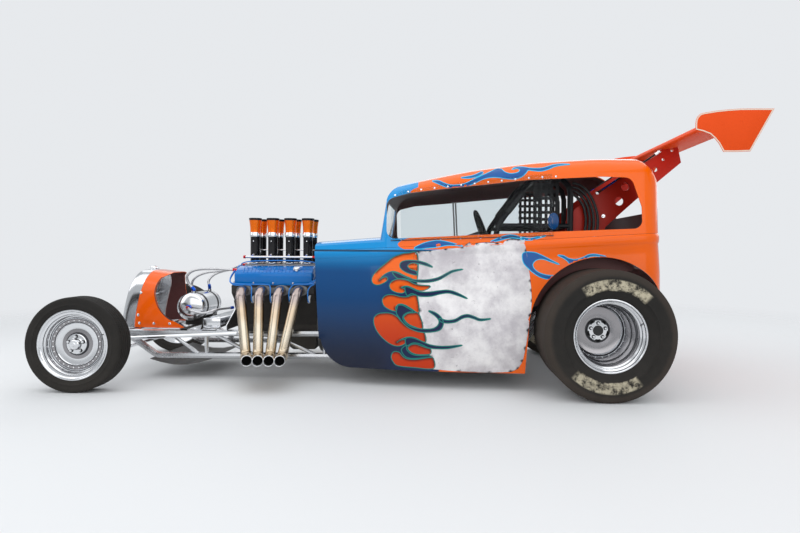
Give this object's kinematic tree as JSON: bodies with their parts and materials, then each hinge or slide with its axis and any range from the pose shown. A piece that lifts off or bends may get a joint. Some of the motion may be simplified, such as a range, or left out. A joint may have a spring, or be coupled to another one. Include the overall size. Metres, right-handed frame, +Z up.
{
  "type": "drag racing car",
  "caption": "Front-engined drag racing car with a chopped sedan shell, open vee engine with upright injector stacks, wide rear slicks, narrow front wheels and a high rear wing",
  "frame": {"origin": "On the floor, under the middle of the bounding box", "axes": "+X forward along the car's length, +Y to the car's left, the side in the picture, +Z up"},
  "size_m": [4.335, 1.679, 1.673],
  "materials": {
    "paint_orange": "gloss",
    "paint_blue": "gloss",
    "clear_sheet": "clear",
    "grey_metal": "satin",
    "polished_aluminium": "polished",
    "black_paint": "satin",
    "engine_blue": "gloss",
    "header_steel": "heat tinted",
    "tyre_rubber": "matte",
    "chrome": "polished",
    "paint_red": "gloss"
  },
  "bodies": {
    "chassis": {"body_side_shell": "paint_orange", "body_roof_shell": "paint_orange", "cowl_top": "paint_blue", "side_window_left": "clear_sheet", "side_window_right": "clear_sheet", "windscreen": "clear_sheet", "floor_pan": "grey_metal", "firewall": "polished_aluminium", "wheel_tub_left": "grey_metal", "wheel_tub_right": "grey_metal", "seat": "black_paint", "frame_left": "black_paint", "frame_right": "black_paint", "cross_tube_front": "black_paint", "cross_tube_tail": "black_paint", "roll_cage": "black_paint", "engine_block": "engine_blue", "valve_cover_left": "engine_blue", "valve_cover_right": "engine_blue", "intake_manifold": "grey_metal", "injector_stacks_left": "black_paint", "injector_stacks_right": "black_paint", "gearbox": "grey_metal", "front_drive": "polished_aluminium", "magneto": "black_paint", "header_left": "header_steel", "header_right": "header_steel", "front_axle": "chrome", "rear_axle": "grey_metal", "driveshaft": "grey_metal", "steering_column": "grey_metal", "nose_shell": "polished_aluminium", "nose_hood": "paint_orange", "fuel_tank": "polished_aluminium", "belly_pan": "grey_metal", "motor_plate": "polished_aluminium", "wing": "paint_red", "wing_strut_left": "paint_red", "wing_strut_right": "paint_red"},
    "knuckle_left": {"knuckle_left": "chrome"},
    "knuckle_right": {"knuckle_right": "chrome"},
    "tie_rod": {"tie_rod": "chrome"},
    "front_wheel_left": {"front_tyre_left": "tyre_rubber", "front_rim_left": "polished_aluminium"},
    "front_wheel_right": {"front_tyre_right": "tyre_rubber", "front_rim_right": "polished_aluminium"},
    "rear_wheel_left": {"rear_tyre_left": "tyre_rubber", "rear_rim_left": "polished_aluminium"},
    "rear_wheel_right": {"rear_tyre_right": "tyre_rubber", "rear_rim_right": "polished_aluminium"},
    "steering_wheel": {"steering_wheel": "black_paint"}
  },
  "joints": [
    {"name": "steer_left", "type": "hinge", "parent": "chassis", "child": "knuckle_left", "pos_m": [1.888, 0.5, 0.27952], "axis": [0, 0, 1], "range_deg": [-20, 20]},
    {"name": "steer_right", "type": "hinge", "parent": "chassis", "child": "knuckle_right", "pos_m": [1.888, -0.5, 0.27952], "axis": [0, 0, 1], "range_deg": [-20, 20]},
    {"name": "tie_rod_pivot", "type": "hinge", "parent": "knuckle_left", "child": "tie_rod", "pos_m": [1.758, 0.47, 0.2102], "axis": [0, 0, 1], "range_deg": [-20, 20]},
    {"name": "steering_turn", "type": "hinge", "parent": "chassis", "child": "steering_wheel", "pos_m": [-0.56, 0, 0.985], "axis": [-0.9394, 0, 0.3429], "range_deg": [-160, 160]},
    {"name": "front_spin_left", "type": "hinge", "parent": "knuckle_left", "child": "front_wheel_left", "pos_m": [1.888, 0.622, 0.27952], "axis": [0, 1, 0], "continuous": true},
    {"name": "front_spin_right", "type": "hinge", "parent": "knuckle_right", "child": "front_wheel_right", "pos_m": [1.888, -0.622, 0.27952], "axis": [0, 1, 0], "continuous": true},
    {"name": "rear_spin_left", "type": "hinge", "parent": "chassis", "child": "rear_wheel_left", "pos_m": [-1.202, 0.672, 0.37179], "axis": [0, 1, 0], "continuous": true},
    {"name": "rear_spin_right", "type": "hinge", "parent": "chassis", "child": "rear_wheel_right", "pos_m": [-1.202, -0.672, 0.37179], "axis": [0, 1, 0], "continuous": true}
  ],
  "couplings": [
    {"joint": "steer_right", "follows": "steer_left", "ratio": 1},
    {"joint": "tie_rod_pivot", "follows": "steer_left", "ratio": -1},
    {"joint": "steering_turn", "follows": "steer_left", "ratio": 8}
  ]
}
